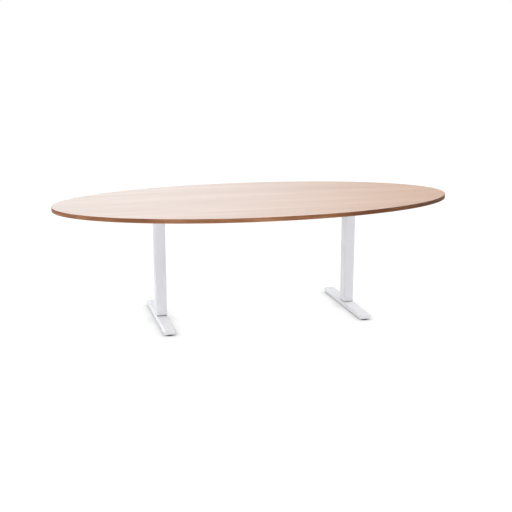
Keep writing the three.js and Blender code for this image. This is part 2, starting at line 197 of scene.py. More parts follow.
# Leads, their plugs and clips
LEAD_RADIUS = 2.5 * MM
LEAD_BEND = 15.0 * MM
LEAD_BEND_STEPS = 8
LEAD_ROUND_STEPS = 4
LEAD_GAP = 0.3 * MM
MOTOR_LEAD_STRAIGHT = 25.0 * MM
MOTOR_LEAD_CLIMB = 75.0 * MM
HANDSET_LEAD_STRAIGHT = 50.0 * MM
PORT_OFFSET = 60.0 * MM
PLUG_REACH = 14.0 * MM
PLUG_HALF = 5.5 * MM
PLUG_DROP = 6.0 * MM
PLUG_CORNER = 1.2 * MM
PLUG_STEP = 1.6 * MM
PLUG_EASE = 0.3 * MM
RELIEF_REACH = 6.0 * MM
RELIEF_SHARE = 0.85
RELIEF_DROP = 1.7 * MM
CLIP_HALF_LENGTH = 5.6 * MM
CLIP_HALF_WIDTH = 4.2 * MM
CLIP_DROP = 6.4 * MM
CLIP_CORNER = 3.0 * MM
CLIP_EASE = 0.3 * MM
CLIP_BORE_REACH = 7.0 * MM
CLIP_BORE_ROOM = 0.1 * MM
CLIP_FLANGE = 2.0 * MM
CLIP_FLANGE_REACH = 11.5 * MM
CLIP_SCREW = 9.9 * MM
LEFT_CLIP = -345.0 * MM
RIGHT_CLIPS = (330.0 * MM, 150.0 * MM, -30.0 * MM)
PORT_CLIP = 85.0 * MM
HANDSET_CLIPS = (0.2, 0.8)

# Colours, from dark to light
VENEER_TONES = ((0.5, 0.293, 0.187), (0.544, 0.33, 0.217), (0.584, 0.364, 0.245))
BACKING_TONES = ((0.63, 0.55, 0.46), (0.68, 0.6, 0.51), (0.72, 0.645, 0.555))
EDGE_TONES = ((0.24, 0.092, 0.041), (0.35, 0.153, 0.072), (0.46, 0.226, 0.118))
BOARD_TONES = ((0.27, 0.17, 0.085), (0.48, 0.33, 0.17), (0.66, 0.5, 0.3))
COAT_TONES = ((0.8, 0.797, 0.84), (0.82, 0.817, 0.86))
BLACK_TONES = ((0.012, 0.012, 0.013), (0.022, 0.022, 0.024))
GREY_TONES = ((0.04, 0.041, 0.045), (0.056, 0.057, 0.062))
JACKET_TONES = ((0.014, 0.014, 0.015), (0.024, 0.024, 0.026))
RUBBER_TONES = ((0.006, 0.006, 0.006), (0.014, 0.014, 0.014))
PLATING_TONES = ((0.5, 0.5, 0.51), (0.68, 0.68, 0.67))
CASTING_TONES = ((0.33, 0.335, 0.345), (0.45, 0.455, 0.46))
BRONZE_TONES = ((0.42, 0.24, 0.07), (0.6, 0.38, 0.13))
PRINT_TONES = ((0.58, 0.58, 0.59), (0.7, 0.7, 0.71))
TONE_SPREAD = (0.3, 0.7)
# Painted shade on the edge band: the stretch of X over which it darkens, and its darkest factor
EDGE_SHADE_SPAN = (-0.1, 1.05)
EDGE_SHADE_DARKEST = 0.34

# Studio lights, each with the direction it comes from, the cosine where it begins and its level
STUDIO_LIGHTS = (
    ((0.931, 0.343, 0.123), 0.486, 4.08),
    ((-0.486, 0.435, 0.758), 0.85, 5.6),
    ((-0.05, -0.313, 0.948), 0.726, 6.0),
)
LOW_LIGHTS = (
    ((-0.758, 0.652, 0.007), 0.879, 6.0),
    ((-0.287, -0.954, 0.087), 0.844, 2.63),
)
ROOM_LEVEL = 0.1
HORIZON_RISE = (0.0, 0.505)
HORIZON_LEVEL = 0.02
CEILING_FADE = (0.6, 0.95)
CEILING_LEVEL = 0.081

# Studio floor and softbox
FLOOR_SIZE = 60.0
FLOOR_DROP = 0.2 * MM
FLOOR_BOUNCE = (0.92, 0.94, 0.96)
FLOOR_SHADE = (0.12, 0.124, 0.127)
FLOOR_GLOW = 0.72
FLOOR_LEAST = 0.2
CONTACT_REACH = 90.0 * MM
SOFTBOX_SPAN = (-9.0, 4.6)
SOFTBOX_BACK = 5.0
SOFTBOX_BOTTOM = 1.4
SOFTBOX_HEIGHT = 3.6
SOFTBOX_FADE = (-0.3, 4.35)
SOFTBOX_LEFT = (3.0, 3.97, 4.55)
SOFTBOX_RIGHT = (1.0, 1.0, 1.0)

# Camera, with its angles in degrees and its lens in millimetres
CAMERA_PLACE = (-1.4099, -5.2867, 1.6574)
CAMERA_DOWN = 13.401
CAMERA_RIGHT = 14.926
CAMERA_LENS = 65.118
CAMERA_SENSOR = 36.0


# Bench work

def leave_bench():
    if bpy.context.mode != "OBJECT":
        bpy.ops.object.mode_set(mode="OBJECT")


def clear_bench():
    leave_bench()
    bpy.ops.object.select_all(action="DESELECT")


def name_blank(name):
    """Names the new blank, settles its place into its mesh and opens it for shaping."""
    blank = bpy.context.object
    blank.name = name
    blank.data.name = name
    bpy.ops.object.transform_apply(location=True, rotation=True, scale=True)
    bpy.ops.object.mode_set(mode="EDIT")
    bpy.ops.mesh.select_all(action="SELECT")
    return blank


def take_block(name, low, high):
    """A squared blank between two corners."""
    clear_bench()
    low = Vector(low)
    high = Vector(high)
    bpy.ops.mesh.primitive_cube_add(size=1, location=(low + high) / 2)
    bpy.context.object.scale = high - low
    return name_blank(name)


def take_bar(name, start, end, radius, sides):
    """A round or many-sided bar between two points."""
    clear_bench()
    start = Vector(start)
    run = Vector(end) - start
    bpy.ops.mesh.primitive_cylinder_add(
        vertices=sides,
        radius=radius,
        depth=run.length,
        location=start + run / 2,
        rotation=run.to_track_quat("Z", "Y").to_euler(),
    )
    return name_blank(name)


def take_disc(name, place, radius, sides, fill):
    """A flat outline, open or filled."""
    clear_bench()
    bpy.ops.mesh.primitive_circle_add(vertices=sides, radius=radius, fill_type=fill, location=place)
    return name_blank(name)


def take_oval(name, half_length, half_width, level, fill):
    """An elliptical outline, open or filled."""
    middle = (0, 0, level)
    oval = take_disc(name, middle, 1, OVAL_STEPS, fill)
    stretch(half_length, half_width, 1, middle)
    return oval


def pick_edges(test):
    """Selects the edges whose two ends pass the test."""
    bpy.ops.mesh.select_mode(type="EDGE")
    bpy.ops.mesh.select_all(action="DESELECT")
    mesh = bpy.context.object.data
    shape = bmesh.from_edit_mesh(mesh)
    for edge in shape.edges:
        edge.select_set(test(edge.verts[0].co, edge.verts[1].co))
    bmesh.update_edit_mesh(mesh)


def pick_faces(test):
    """Selects the faces whose middle and outward direction pass the test."""
    bpy.ops.mesh.select_mode(type="FACE")
    bpy.ops.mesh.select_all(action="DESELECT")
    mesh = bpy.context.object.data
    shape = bmesh.from_edit_mesh(mesh)
    for face in shape.faces:
        face.select_set(test(face.calc_center_median(), face.normal))
    bmesh.update_edit_mesh(mesh)


def along(axis):
    """Passes the edges that run along an axis."""
    return lambda a, b: abs(a[axis] - b[axis]) > STRAIGHT * (a - b).length


def at_level(level, axis=Z):
    """Passes the edges that lie at one level of an axis."""
    return lambda a, b: abs(a[axis] - level) < NEAR and abs(b[axis] - level) < NEAR


def facing(direction):
    """Passes the faces that look in one direction."""
    direction = Vector(direction)
    return lambda middle, normal: normal.dot(direction) > FACING


def square_to(axis):
    """Passes the faces that stand square to an axis."""
    return lambda middle, normal: abs(normal[axis]) > SQUARE


def round_over(width, steps):
    bpy.ops.mesh.bevel(offset=width, segments=steps, affect="EDGES")


def inset(width, depth=0.0):
    bpy.ops.mesh.inset(thickness=width, depth=depth)


def pull(x=0.0, y=0.0, z=0.0):
    bpy.ops.mesh.extrude_region_move(TRANSFORM_OT_translate={"value": (x, y, z)})


def pull_rim(z=0.0):
    bpy.ops.mesh.extrude_edges_move(TRANSFORM_OT_translate={"value": (0, 0, z)})


def stretch(x, y, z, middle):
    bpy.ops.transform.resize(value=(x, y, z), center_override=middle)


def score(place, direction):
    """Scores a line right round the piece."""
    bpy.ops.mesh.select_all(action="SELECT")
    bpy.ops.mesh.bisect(plane_co=place, plane_no=direction)


def turn_outwards():
    bpy.ops.mesh.select_all(action="SELECT")
    bpy.ops.mesh.normals_make_consistent(inside=False)


def apply_modifier(piece, kind, **settings):
    modifier = piece.modifiers.new(kind.lower(), kind)
    for setting, value in settings.items():
        setattr(modifier, setting, value)
    bpy.context.view_layer.objects.active = piece
    bpy.ops.object.modifier_apply(modifier=modifier.name)


def hollow(piece, open_faces, wall):
    """Takes the open faces away and leaves a wall inside the others."""
    pick_faces(open_faces)
    bpy.ops.mesh.delete(type="FACE")
    leave_bench()
    apply_modifier(piece, "SOLIDIFY", thickness=wall, offset=-1, use_even_offset=True)


def combine(piece, other, operation):
    leave_bench()
    apply_modifier(piece, "BOOLEAN", operation=operation, solver="EXACT", object=other)
    bpy.data.objects.remove(other)
    clear_bench()
    piece.select_set(True)


def carve(piece, cutter):
    """Cuts the shape of the cutter out of a piece, and throws the cutter away."""
    combine(piece, cutter, "DIFFERENCE")


def close_up(piece, ease=0.0):
    """Eases the sharp edges that are left and smooths what is round."""
    leave_bench()
    if ease:
        apply_modifier(
            piece,
            "BEVEL",
            width=ease,
            segments=2,
            limit_method="ANGLE",
            angle_limit=SHARP_ANGLE,
        )
    bpy.ops.object.shade_smooth_by_angle(angle=SMOOTH_ANGLE)
    apply_modifier(piece, "WEIGHTED_NORMAL", keep_sharp=True)
    return piece


def another(piece, name, shift, turn=0.0):
    """A copy with its own mesh, turned about the upright through the origin and then moved."""
    clear_bench()
    piece.select_set(True)
    bpy.context.view_layer.objects.active = piece
    bpy.ops.object.duplicate(linked=False)
    copy = bpy.context.object
    copy.name = name
    copy.data.name = name
    copy.rotation_euler.z = turn
    copy.location = shift
    bpy.ops.object.transform_apply(location=True, rotation=True, scale=True)
    return copy


def fit(piece, body, slot, finish, *nodes):
    """Finishes a piece and sets it on its body, in place of the nodes that it stands for."""
    piece.data.materials.clear()
    piece.data.materials.append(finish)
    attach(piece, body)
    if nodes:
        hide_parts(*nodes)


# Finishes

def smooth_range(tree, value, start, end, low=0.0, high=1.0):
    """Goes smoothly from low to high while a value goes from start to end."""
    change = tree.nodes.new("ShaderNodeMapRange")
    change.interpolation_type = "SMOOTHSTEP"
    change.inputs["From Min"].default_value = start
    change.inputs["From Max"].default_value = end
    change.inputs["To Min"].default_value = low
    change.inputs["To Max"].default_value = high
    tree.links.new(value, change.inputs["Value"])
    return change.outputs["Result"]


class Finish:
    """A material's node tree, with its coordinates in the frame of the table."""

    def __init__(self, name, roughness, **values):
        self.material = bpy.data.materials.new(name)
        self.material.use_nodes = True
        self.tree = self.material.node_tree
        self.shader = self.tree.nodes["Principled BSDF"]
        self.shader.inputs["Roughness"].default_value = roughness
        for socket, value in values.items():
            self.shader.inputs[socket.replace("_", " ")].default_value = value
        self.place = self.tree.nodes.new("ShaderNodeTexCoord").outputs["Object"]

    def join(self, source, target):
        self.tree.links.new(source, target)

    def scaled(self, x, y, z):
        """The place on the table, drawn out or packed together along each axis."""
        mapping = self.tree.nodes.new("ShaderNodeMapping")
        mapping.inputs["Scale"].default_value = (x, y, z)
        self.join(self.place, mapping.inputs["Vector"])
        return mapping.outputs["Vector"]

    def noise(self, place, scale=1.0, detail=4.0, roughness=0.5, distortion=0.0):
        noise = self.tree.nodes.new("ShaderNodeTexNoise")
        noise.inputs["Scale"].default_value = scale
        noise.inputs["Detail"].default_value = detail
        noise.inputs["Roughness"].default_value = roughness
        noise.inputs["Distortion"].default_value = distortion
        self.join(place, noise.inputs["Vector"])
        return noise.outputs["Fac"]

    def distance_along(self, axis, start, end):
        """Nought at the start and one at the end of a stretch of one axis."""
        split = self.tree.nodes.new("ShaderNodeSeparateXYZ")
        self.join(self.place, split.inputs[0])
        return smooth_range(self.tree, split.outputs[axis], start, end)

    def tones(self, amount, colours, stops=TONE_SPREAD):
        """Colours along an amount, one at each stop."""
        ramp = self.tree.nodes.new("ShaderNodeValToRGB")
        elements = ramp.color_ramp.elements
        while len(elements) < len(stops):
            elements.new(0.5)
        for element, position, colour in zip(elements, stops, colours):
            element.position = position
            element.color = (*colour, 1)
        self.join(amount, ramp.inputs["Fac"])
        return ramp.outputs["Color"]

    def greys(self, amount, low, high, stops=TONE_SPREAD):
        """Greys along an amount, from low to high."""
        return self.tones(amount, ((low,) * 3, (high,) * 3), stops)

    def times(self, first, second, amount=1.0):
        """One colour multiplied by another."""
        mix = self.tree.nodes.new("ShaderNodeMix")
        mix.data_type = "RGBA"
        mix.blend_type = "MULTIPLY"
        mix.inputs[0].default_value = amount
        self.join(first, mix.inputs[6])
        self.join(second, mix.inputs[7])
        return mix.outputs[2]

    def colour(self, source):
        self.join(source, self.shader.inputs["Base Color"])

    def rough(self, source):
        self.join(source, self.shader.inputs["Roughness"])

    def relief(self, height, distance, strength):
        bump = self.tree.nodes.new("ShaderNodeBump")
        bump.inputs["Distance"].default_value = distance
        bump.inputs["Strength"].default_value = strength
        self.join(height, bump.inputs["Height"])
        self.join(bump.outputs["Normal"], self.shader.inputs["Normal"])


def lacquered_veneer(name, tones):
    """Pale veneer with its grain along the table, under satin lacquer."""
    wood = Finish(name, 0.42, IOR=1.3)
    figure = wood.noise(wood.scaled(0.55, 11, 1), detail=3.0, distortion=0.7)
    streaks = wood.noise(wood.scaled(1.6, 120, 1), detail=6.0, roughness=0.62, distortion=0.25)
    pores = wood.noise(wood.scaled(26, 950, 1), detail=2.0)
    tone = wood.tones(figure, tones, (0.28, 0.5, 0.74))
    lines = wood.greys(streaks, 0.865, 1.07, (0.3, 0.68))
    flecks = wood.greys(pores, 0.9, 1.0, (0.36, 0.47))
    wood.colour(wood.times(wood.times(tone, lines), flecks, 0.55))
    wood.rough(wood.greys(streaks, 0.428, 0.412))
    wood.relief(pores, 0.02 * MM, 0.35)
    return wood.material


def edge_wood():
    """Darker band whose grain runs round the table, with painted shade darkening it towards its right
    end.
    """
    wood = Finish("edge_wood", 0.6, Specular_IOR_Level=0.12)
    figure = wood.noise(wood.scaled(3.2, 3.2, 26), detail=3.0, roughness=0.55, distortion=0.4)
    streaks = wood.noise(wood.scaled(11, 11, 330), detail=5.0, roughness=0.62, distortion=0.2)
    tone = wood.tones(figure, EDGE_TONES, (0.32, 0.5, 0.7))
    lines = wood.greys(streaks, 0.62, 1.22, (0.32, 0.68))
    # Painted shade: darkens the band's colour towards the right end of the table
    painted_shade = wood.greys(wood.distance_along(X, *EDGE_SHADE_SPAN), 1.0, EDGE_SHADE_DARKEST, (0.0, 1.0))
    wood.colour(wood.times(wood.times(tone, lines), painted_shade))
    wood.rough(wood.greys(streaks, 0.66, 0.55))
    wood.relief(streaks, 0.03 * MM, 0.4)
    return wood.material


def board_core():
    """Raw particle board."""
    board = Finish("board_core", 0.85)
    chips = board.noise(board.scaled(1, 1, 2.5), 320, detail=3.0, roughness=0.7)
    board.colour(board.tones(chips, BOARD_TONES, (0.32, 0.52, 0.7)))
    board.relief(chips, 0.3 * MM, 0.8)
    return board.material


def powder_coat():
    """White satin powder coat with its fine orange peel."""
    coat = Finish("white_powder_coat", 0.5, Specular_IOR_Level=0.14)
    peel = coat.noise(coat.place, 900, detail=2.0)
    cloud = coat.noise(coat.place, 9, detail=3.0)
    coat.colour(coat.tones(cloud, COAT_TONES))
    coat.rough(coat.greys(peel, 0.46, 0.55))
    coat.relief(peel, 0.03 * MM, 0.5)
    return coat.material


def moulded_plastic(name, tones, roughness):
    """Spark-textured moulding with a faint mottle."""
    plastic = Finish(name, roughness)
    spark = plastic.noise(plastic.place, 2600, detail=3.0, roughness=0.6)
    mottle = plastic.noise(plastic.place, 60, roughness=0.6)
    plastic.colour(plastic.tones(mottle, tones))
    plastic.rough(plastic.greys(spark, roughness - 0.07, roughness + 0.09))
    plastic.relief(spark, 0.05 * MM, 0.5)
    return plastic.material


def pad_rubber():
    """Dull black rubber, greyed a little where it is scuffed."""
    rubber = Finish("pad_rubber", 0.8, Specular_IOR_Level=0.15)
    scuff = rubber.noise(rubber.place, 240, roughness=0.65)
    rubber.colour(rubber.tones(scuff, RUBBER_TONES, (0.4, 0.75)))
    rubber.rough(rubber.greys(scuff, 0.72, 0.9))
    rubber.relief(scuff, 0.05 * MM, 0.5)
    return rubber.material


def plated_steel():
    """Zinc plating with its cloudy spangle."""
    steel = Finish("zinc_steel", 0.34, Metallic=1.0)
    spangle = steel.noise(steel.place, 420, roughness=0.65)
    steel.colour(steel.tones(spangle, PLATING_TONES))
    steel.rough(steel.greys(spangle, 0.27, 0.42))
    steel.relief(spangle, 0.01 * MM, 0.5)
    return steel.material


def cast_zinc():
    """Die cast housing, dull and slightly pitted."""
    cast = Finish("cast_zinc", 0.52, Metallic=0.9)
    pits = cast.noise(cast.place, 1500, roughness=0.7)
    flow = cast.noise(cast.place, 45, roughness=0.6, distortion=1.2)
    cast.colour(cast.tones(flow, CASTING_TONES))
    cast.rough(cast.greys(pits, 0.44, 0.62))
    cast.relief(pits, 0.06 * MM, 0.6)
    return cast.material


def nut_bronze():
    """Machined bronze with its turning marks."""
    bronze = Finish("nut_bronze", 0.3, Metallic=1.0)
    marks = bronze.noise(bronze.scaled(30, 30, 2200), detail=3.0)
    bronze.colour(bronze.tones(marks, BRONZE_TONES))
    bronze.rough(bronze.greys(marks, 0.24, 0.4))
    bronze.relief(marks, 0.01 * MM, 0.5)
    return bronze.material


def arrow_print():
    """Pale printed arrow on a button."""
    mark = Finish("arrow_print", 0.55)
    ink = mark.noise(mark.place, 3000, detail=2.0)
    mark.colour(mark.tones(ink, PRINT_TONES))
    return mark.material


VENEER = lacquered_veneer("top_veneer", VENEER_TONES)
BACKING = lacquered_veneer("underside_veneer", BACKING_TONES)
EDGE_WOOD = edge_wood()
BOARD = board_core()
WHITE_COAT = powder_coat()
BLACK_PLASTIC = moulded_plastic("black_plastic", BLACK_TONES, 0.5)
GREY_PLASTIC = moulded_plastic("grey_plastic", GREY_TONES, 0.52)
PAD_RUBBER = pad_rubber()
LEAD_JACKET = moulded_plastic("lead_jacket", JACKET_TONES, 0.38)
ZINC_STEEL = plated_steel()
CAST_ZINC = cast_zinc()
NUT_BRONZE = nut_bronze()
ARROW_PRINT = arrow_print()

# Where two of these words are in a node's name, the later one holds
KEPT_NODES = {
    "top_core": BOARD,
    "lower_bush": BLACK_PLASTIC,
    "upper_bush": BLACK_PLASTIC,
    "spindle": ZINC_STEEL,
    "spindle_nut": NUT_BRONZE,
    "column_end_plate": ZINC_STEEL,
    "foot_bolt": ZINC_STEEL,
    "glide_nut": ZINC_STEEL,
}


def finish_kept_nodes():
    """Puts the finishes on the nodes that are shown as they are packed."""
    for name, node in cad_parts.items():
        for words, finish in KEPT_NODES.items():
            if words in name:
                node.data.materials.clear()
                node.data.materials.append(finish)


# Table top

def lay_veneer(name, node, finish):
    low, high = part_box(node)
    sheet = take_oval(name, high.x, high.y, low.z, "NGON")
    pull(z=high.z - low.z)
    turn_outwards()
    pick_edges(at_level(high.z))
    round_over(VENEER_EASE, steps=2)
    fit(close_up(sheet), "table", "top_veneer", finish, node)


def bend_edge_band():
    """The wooden band round the board, its two outer arrises rounded over."""
    low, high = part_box("edge_band")
    height = high.z - low.z
    band = take_oval("edge_band_ring", high.x, high.y, low.z, "NOTHING")
    pull_rim(z=height)
    pull_rim()
    inner_length = (high.x - BAND_THICKNESS) / high.x
    inner_width = (high.y - BAND_THICKNESS) / high.y
    stretch(inner_length, inner_width, 1, (0, 0, high.z))
    pull_rim(z=-height)
    pick_edges(at_level(low.z))
    bpy.ops.mesh.bridge_edge_loops()
    turn_outwards()

    def on_outline(point):
        return (point.x / high.x) ** 2 + (point.y / high.y) ** 2 > BAND_OUTLINE

    pick_edges(lambda a, b: abs(a.z - b.z) < NEAR and on_outline(a) and on_outline(b))
    round_over(BAND_ARRIS, steps=4)
    fit(close_up(band), "table", "edge_wood", EDGE_WOOD, "edge_band")


# Legs

def draw_tube(name, node, corner):
    """A drawn steel tube with rounded corners, open at both ends."""
    tube = take_block(name, *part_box(node))
    pick_edges(along(Z))
    round_over(corner, steps=8)
    hollow(tube, square_to(Z), TUBE_WALL)
    return close_up(tube, TUBE_MOUTH)


def press_foot(name, node):
    """A pressed foot, rounded along its upper edges and open underneath."""
    low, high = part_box(node)
    foot = take_block(name, low, high)
    pick_edges(along(Z))
    round_over(FOOT_CORNER, steps=10)
    pick_edges(at_level(high.z))
    round_over(FOOT_EDGE, steps=8)
    hollow(foot, facing(DOWN), FOOT_WALL)
    return close_up(foot, FOOT_LIP)


def mould_pad(name, node):
    """A floor pad with a sloping shoulder, a socket for its stud and a ringed tread."""
    low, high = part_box(node)
    height = high.z - low.z
    x, y = ((low + high) / 2).xy
    pad = take_bar(name, (x, y, low.z), (x, y, low.z + PAD_RIM), PAD_RADIUS, sides=64)
    pick_faces(facing(UP))
    pull(z=height - PAD_RIM)
    shrink = PAD_NECK / PAD_RADIUS
    stretch(shrink, shrink, 1, (x, y, high.z))
    inset(PAD_NECK - STUD_CREST - PAD_SOCKET_ROOM)
    pull(z=PAD_FLOOR - height)
    pick_faces(facing(DOWN))
    for _ in range(TREAD_RINGS):
        inset(TREAD_WIDTH)
        pull(z=TREAD_DEPTH)
        inset(TREAD_WIDTH)
        pull(z=-TREAD_DEPTH)
    turn_outwards()
    pick_edges(at_level(low.z + PAD_RIM))
    round_over(PAD_SHOULDER, steps=4)
    return close_up(pad, PAD_EASE)


def cut_stud(name, node):
    """A threaded stud with a spanner hexagon."""
    low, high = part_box(node)
    x, y = ((low + high) / 2).xy
    bottom, top = STUD_COLLAR
    collar = take_bar("collar", (x, y, bottom), (x, y, top), STUD_HEX, sides=6)
    round_over(STUD_COLLAR_EASE, steps=2)
    stud = take_disc(name, (x, y, low.z), STUD_ROOT, sides=24, fill="NGON")
    turns = int((high.z - low.z) / STUD_PITCH)
    swell = STUD_CREST / STUD_ROOT
    step = (high.z - low.z) / turns / 2
    level = low.z
    for size in (swell, 1 / swell) * turns:
        level += step
        pull(z=step)
        stretch(size, size, 1, (x, y, level))
    turn_outwards()
    combine(stud, collar, "UNION")
    return close_up(stud)


def build_columns():
    for side in SIDES:
        node = f"{side}_outer_column"
        sleeve = draw_tube(f"{side}_outer_sleeve", node, COLUMN_CORNER)
        fit(sleeve, "table", "white_powder_coat", WHITE_COAT, node)
    for side in SIDES:
        node = f"{side}_inner_column"
        tube = draw_tube(f"{side}_inner_tube", node, INNER_CORNER)
        fit(tube, f"{side}_base", "white_powder_coat", WHITE_COAT, node)


def build_feet():
    for side in SIDES:
        node = f"{side}_foot"
        foot = press_foot(f"{side}_foot_shell", node)
        fit(foot, f"{side}_base", "white_powder_coat", WHITE_COAT, node)
        for end in ENDS:
            where = f"{side}_{end}"
            pad = mould_pad(f"{where}_floor_pad", f"{where}_glide_pad")
            fit(pad, f"{where}_pad", "black_plastic", PAD_RUBBER, f"{where}_glide_pad")
            stud = cut_stud(f"{where}_threaded_stud", f"{where}_glide_stud")
            fit(stud, f"{where}_stud", "zinc_steel", ZINC_STEEL, f"{where}_glide_stud")


# Underframe

def turn_screw():
    """A pan head screw with a cross slot, hanging from z = 0."""
    screw = take_bar("screw", (0, 0, -SCREW_HEIGHT), (0, 0, 0), SCREW_RADIUS, sides=32)
    pick_edges(at_level(-SCREW_HEIGHT))
    round_over(SCREW_DOME, steps=5)
    for x, y in ((SLOT_REACH, SLOT_HALF), (SLOT_HALF, SLOT_REACH)):
        slot = take_block(
            "slot",
            (-x, -y, -SCREW_HEIGHT - CUT_PAST),
            (x, y, SLOT_DEPTH - SCREW_HEIGHT),
        )
        carve(screw, slot)
    return close_up(screw)


def turn_bolt():
    """A button head bolt with a six-sided socket, its head facing -Y from y = 0."""
    bolt = take_bar("bolt", (0, 0, 0), (0, -BOLT_HEIGHT, 0), BOLT_RADIUS, sides=32)
    pick_edges(at_level(-BOLT_HEIGHT, Y))
    round_over(BOLT_DOME, steps=5)
    socket = take_bar(
        "socket",
        (0, -BOLT_SOCKET_FLOOR, 0),
        (0, -BOLT_HEIGHT - CUT_PAST, 0),
        BOLT_SOCKET,
        sides=6,
    )
    carve(bolt, socket)
    return close_up(bolt)


def drive_screw(screw, name, place):
    """Copies the pattern screw to a place under the board."""
    fit(another(screw, name, place), "table", "zinc_steel", ZINC_STEEL)


def build_arms(screw):
    for side in SIDES:
        node = f"{side}_support_arm"
        low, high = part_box(node)
        arm = take_block(f"{side}_arm_bar", low, high)
        pick_edges(along(Z))
        round_over(ARM_END, steps=10)
        fit(close_up(arm, ARM_EASE), "table", "white_powder_coat", WHITE_COAT, node)
        middle = (low.x + high.x) / 2
        for row, y in enumerate(ARM_SCREW_ROWS, 1):
            drive_screw(screw, f"{side}_arm_screw_{row}", (middle, y, low.z))


def build_rails(bolt):
    for end in ENDS:
        node = f"{end}_rail"
        low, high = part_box(node)
        rail = take_block(f"{end}_tie_rail", low, high)
        pick_edges(along(X))
        round_over(RAIL_CORNER, steps=4)
        hollow(rail, square_to(X), TUBE_WALL)
        fit(close_up(rail, RAIL_EASE), "table", "white_powder_coat", WHITE_COAT, node)
        plug_rail(end, low, high)
        bolt_rail(bolt, end, low, high)


def plug_rail(end, low, high):
    """A dished plastic plug in each open end of a rail."""
    gap = TUBE_WALL + RAIL_PLUG_ROOM
    for side, x, outwards in zip(SIDES, (low.x, high.x), (-1, 1)):
        inner = x - outwards * RAIL_PLUG_DEPTH
        plug = take_block(
            f"{end}_{side}_rail_plug",
            (min(x, inner), low.y + gap, low.z + gap),
            (max(x, inner), high.y - gap, high.z - gap),
        )
        pick_faces(facing((outwards, 0, 0)))
        inset(RAIL_PLUG_RIM)
        inset(RAIL_PLUG_SLOPE, -RAIL_PLUG_DISH)
        pick_edges(along(X))
        round_over(RAIL_PLUG_CORNER, steps=3)
        fit(close_up(plug, RAIL_PLUG_EASE), "table", "black_plastic", BLACK_PLASTIC)


def bolt_rail(bolt, end, low, high):
    """Two bolts through the outer face of a rail into each gearbox."""
    face, turn = (low.y, 0) if end == "front" else (high.y, math.pi)
    level = (low.z + high.z) / 2
    for side in SIDES:
        box_low, box_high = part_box(f"{side}_gearbox")
        axis = (box_low.x + box_high.x) / 2
        for place, offset in (("outer", -0.5), ("inner", 0.5)):
            name = f"{end}_{side}_{place}_rail_bolt"
            copy = another(bolt, name, (axis + offset * RAIL_BOLT_PITCH, face, level), turn)
            fit(copy, "table", "zinc_steel", ZINC_STEEL)


def build_gearboxes():
    for side in SIDES:
        node = f"{side}_gearbox"
        casing = take_block(f"{side}_drive_casing", *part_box(node))
        pick_edges(along(Z))
        round_over(GEARBOX_CORNER, steps=5)
        pick_faces(square_to(X))
        inset(GEARBOX_RIM)
        inset(GEARBOX_DISH, -GEARBOX_DISH)
        fit(close_up(casing, GEARBOX_EASE), "table", "cast_zinc", CAST_ZINC, node)


def build_motors():
    """Motors with a grooved flange, a grooved tail and a boss for the lead."""
    for side, inwards in zip(SIDES, (1, -1)):
        node = f"{side}_motor"
        low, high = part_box(node)
        start = low.x if inwards > 0 else high.x
        end = start + inwards * MOTOR_BODY
        level = (low.z + high.z) / 2
        radius = (high.z - low.z) / 2
        motor = take_bar(
            f"{side}_motor_can", (start, 0, level), (end, 0, level), radius, sides=64
        )
        for groove in MOTOR_GROOVES:
            near = start + inwards * groove
            far = near + inwards * MOTOR_GROOVE_WIDTH
            cut_groove(near, far, level)
        pick_faces(facing((inwards, 0, 0)))
        inset(MOTOR_RIM, MOTOR_CROWN)
        inset(radius - MOTOR_RIM - MOTOR_BOSS)
        pull(x=inwards * MOTOR_BOSS_REACH)
        turn_outwards()
        fit(close_up(motor, MOTOR_EASE), "table", "black_plastic", BLACK_PLASTIC, node)


def cut_groove(near, far, level):
    """A groove round a motor between two places along it."""
    for x in (near, far):
        score((x, 0, level), (1, 0, 0))
    pick_faces(lambda middle, normal: min(near, far) < middle.x < max(near, far))
    pull()
    stretch(1, MOTOR_GROOVE_SHARE, MOTOR_GROOVE_SHARE, ((near + far) / 2, 0, level))


# Control box, handset and leads

def build_control_box(screw):
    """The control box with its lid seam, cooling slots and fixing ears."""
    low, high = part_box("control_box")
    middle = (low + high) / 2
    box = take_block("control_box_casing", low, high)
    pick_edges(along(Z))
    round_over(BOX_CORNER, steps=5)
    pick_edges(at_level(low.z))
    round_over(BOX_EDGE, steps=4)
    seam_low = low.z + SEAM_LEVEL
    seam_high = seam_low + SEAM_WIDTH
    for z in (seam_low, seam_high):
        score((0, 0, z), UP)
    pick_faces(lambda place, normal: seam_low < place.z < seam_high)
    pull()
    stretch(*SEAM_SHARE, 1, (middle.x, middle.y, seam_low))
    turn_outwards()
    for row in VENT_ROWS:
        x = middle.x + row * VENT_PITCH
        slot = take_block(
            "slot",
            (x - VENT_HALF, middle.y - VENT_REACH, low.z - CUT_PAST),
            (x + VENT_HALF, middle.y + VENT_REACH, low.z + VENT_DEPTH),
        )
        pick_edges(along(Z))
        round_over(VENT_CORNER, steps=4)
        carve(box, slot)
    fit(close_up(box, BOX_EASE), "table", "grey_plastic", GREY_PLASTIC, "control_box")
    for side, x in zip(SIDES, (low.x + EAR_INSET, high.x - EAR_INSET)):
        for end, y, outwards in zip(ENDS, (low.y, high.y), (-1, 1)):
            fix_ear(screw, f"control_box_{end}_{side}", (x, y, high.z), outwards)


def fix_ear(screw, where, root, outwards):
    """An ear on a long side of the control box, screwed up into the board."""
    x, y, top = root
    outer = y + outwards * EAR_REACH
    bottom = top - EAR_THICKNESS
    ear = take_block(
        f"{where}_ear",
        (x - EAR_HALF, min(y, outer), bottom),
        (x + EAR_HALF, max(y, outer), top),
    )
    pick_edges(lambda a, b: along(Z)(a, b) and abs(a.y - outer) < NEAR)
    round_over(EAR_CORNER, steps=5)
    fit(close_up(ear, EAR_EASE), "table", "grey_plastic", GREY_PLASTIC)
    drive_screw(screw, f"{where}_screw", (x, y + outwards * EAR_SCREW, bottom))


